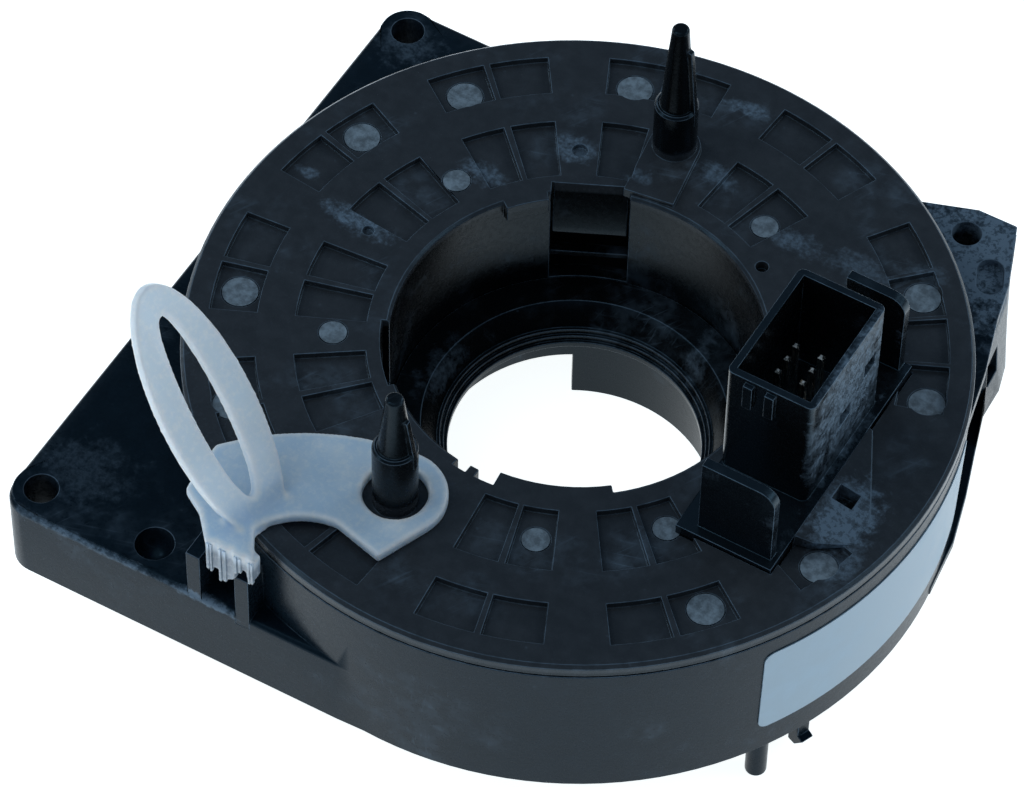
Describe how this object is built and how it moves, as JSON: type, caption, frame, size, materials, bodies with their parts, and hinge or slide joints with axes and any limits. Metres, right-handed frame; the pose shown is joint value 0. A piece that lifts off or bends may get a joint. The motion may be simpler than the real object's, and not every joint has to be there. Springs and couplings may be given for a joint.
{
  "type": "steering clock spring",
  "caption": "Steering column contact ring: a rotor with drive pegs and a connector turns in a flanged stator on a coiled ribbon, held centred by a pull-off clip.",
  "frame": {"origin": "where the rotor axis meets the stator's rear mounting face", "axes": "+Z along the steering shaft towards the driver; +X points from the shaft to the wheel-side connector; the mounting plate's edges run along X and Y"},
  "size_m": [0.1133, 0.1116, 0.0679],
  "materials": {
    "black_housing": "satin",
    "black_rotor": "satin",
    "black_connector": "satin",
    "natural_plastic": "translucent",
    "label_film": "matte",
    "slip_film": "matte",
    "ribbon": "satin",
    "tinned_pin": "bright"
  },
  "bodies": {
    "stator": {"stator_housing": "black_housing", "rear_cover": "black_housing", "label": "label_film", "lower_slip_film": "slip_film", "ribbon_cable": "ribbon", "outer_ribbon_block": "black_connector", "column_connector_housing": "black_connector", "column_terminal_1": "tinned_pin", "column_terminal_2": "tinned_pin", "column_terminal_3": "tinned_pin", "column_terminal_4": "tinned_pin", "column_terminal_5": "tinned_pin", "column_terminal_6": "tinned_pin"},
    "rotor": {"rotor_disc": "black_rotor", "rotor_sleeve": "black_rotor", "steering_connector_housing": "black_connector", "inner_ribbon_carrier": "black_connector", "upper_slip_film": "slip_film", "steering_terminal_1": "tinned_pin", "steering_terminal_2": "tinned_pin", "steering_terminal_3": "tinned_pin", "steering_terminal_4": "tinned_pin", "steering_terminal_5": "tinned_pin", "steering_terminal_6": "tinned_pin"},
    "transport_lock": {"transport_lock": "natural_plastic"}
  },
  "joints": [
    {"name": "rotor_turn", "type": "hinge", "parent": "stator", "child": "rotor", "pos_m": [0, 0, 0], "axis": [0, 0, 1], "range_deg": [-900, 900]},
    {"name": "lock_pull_off", "type": "slide", "parent": "rotor", "child": "transport_lock", "axis": [0, 0, 1], "range_m": [0, 0.026]}
  ]
}
